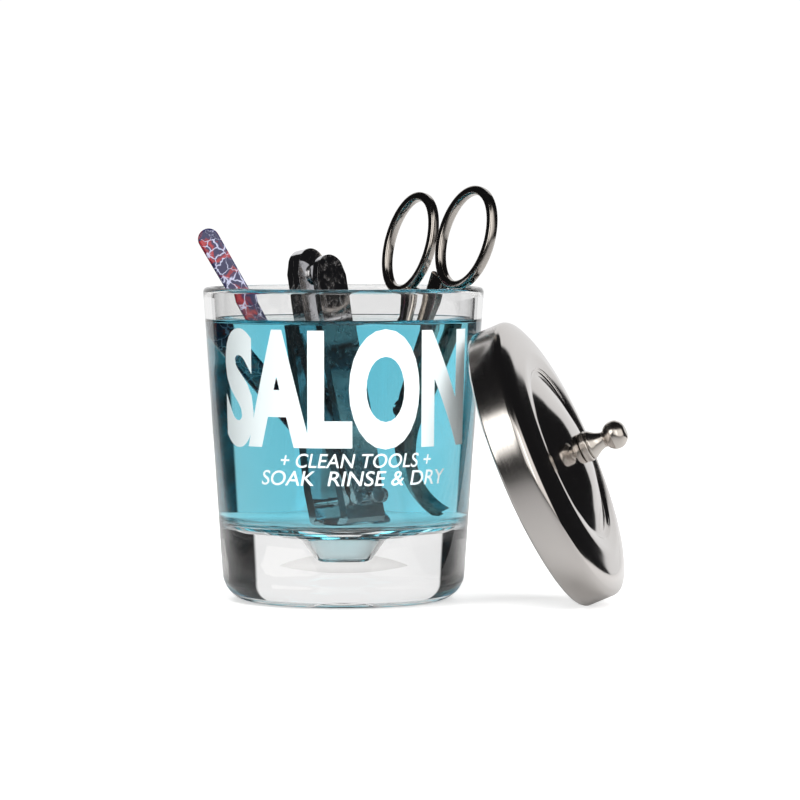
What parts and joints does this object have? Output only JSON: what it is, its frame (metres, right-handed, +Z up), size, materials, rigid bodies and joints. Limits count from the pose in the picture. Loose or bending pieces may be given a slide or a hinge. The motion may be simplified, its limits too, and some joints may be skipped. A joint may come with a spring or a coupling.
{
  "type": "disinfectant jar",
  "caption": "Small clear glass jar with a very thick base, its pressed steel lid with a ball knob leaning on it, and manicure tools standing inside.",
  "frame": {"origin": "centre of the jar's flat base, on the surface it stands on", "axes": "+Z up along the jar's axis; the lid leans on the +X side, and the front print faces -Y"},
  "size_m": [0.1286, 0.1043, 0.1246],
  "materials": {
    "clear_glass": "clear, fire polished",
    "lid_steel": "pressed and spun, bright crown, finely brushed skirt",
    "knob_steel": "turned, satin",
    "fixing_steel": "plain",
    "scissor_steel": "dark nickel, polished",
    "clipper_chrome": "bright chrome",
    "pusher_print": "printed reptile pattern under clear lacquer",
    "pusher_steel": "polished",
    "disinfectant": "clear cyan liquid",
    "white_print": "fired-on white ink"
  },
  "bodies": {
    "jar": {"glass_jar": "clear_glass"},
    "lid": {"lid_shell": "lid_steel", "knob_collar": "knob_steel", "lid_knob": "knob_steel", "knob_washer": "fixing_steel", "knob_screw": "fixing_steel"},
    "scissors": {"scissor_half_right": "scissor_steel", "scissor_screw": "scissor_steel"},
    "scissor_left": {"scissor_half_left": "scissor_steel"},
    "clipper": {"clipper_lower_arm": "clipper_chrome", "clipper_upper_arm": "clipper_chrome", "clipper_rivet": "clipper_chrome", "clipper_post": "clipper_chrome"},
    "lever": {"clipper_lever": "clipper_chrome"},
    "pusher": {"pusher_handle": "pusher_print", "pusher_ferrule": "pusher_steel", "pusher_spoon": "pusher_steel"}
  },
  "joints": [
    {"name": "lid_lift_off", "type": "slide", "parent": "jar", "child": "lid", "axis": [0.8948, -0.2132, 0.3923], "range_m": [0, 0.12]},
    {"name": "scissors_lift_out", "type": "slide", "parent": "jar", "child": "scissors", "axis": [0, 0, 1], "range_m": [0, 0.1]},
    {"name": "scissor_pivot", "type": "hinge", "parent": "scissors", "child": "scissor_left", "pos_m": [0.0145, 0.0074, 0.0582], "axis": [-0.7497, -0.6291, 0.2054], "range_deg": [-0.9, 17]},
    {"name": "clipper_lift_out", "type": "slide", "parent": "jar", "child": "clipper", "axis": [0, 0, 1], "range_m": [0, 0.1]},
    {"name": "lever_swing", "type": "hinge", "parent": "clipper", "child": "lever", "pos_m": [0.00667, -0.01593, 0.03294], "axis": [0.6369, 0.7699, 0.0399], "range_deg": [0, 15]},
    {"name": "pusher_lift_out", "type": "slide", "parent": "jar", "child": "pusher", "axis": [0, 0, 1], "range_m": [0, 0.1]}
  ]
}
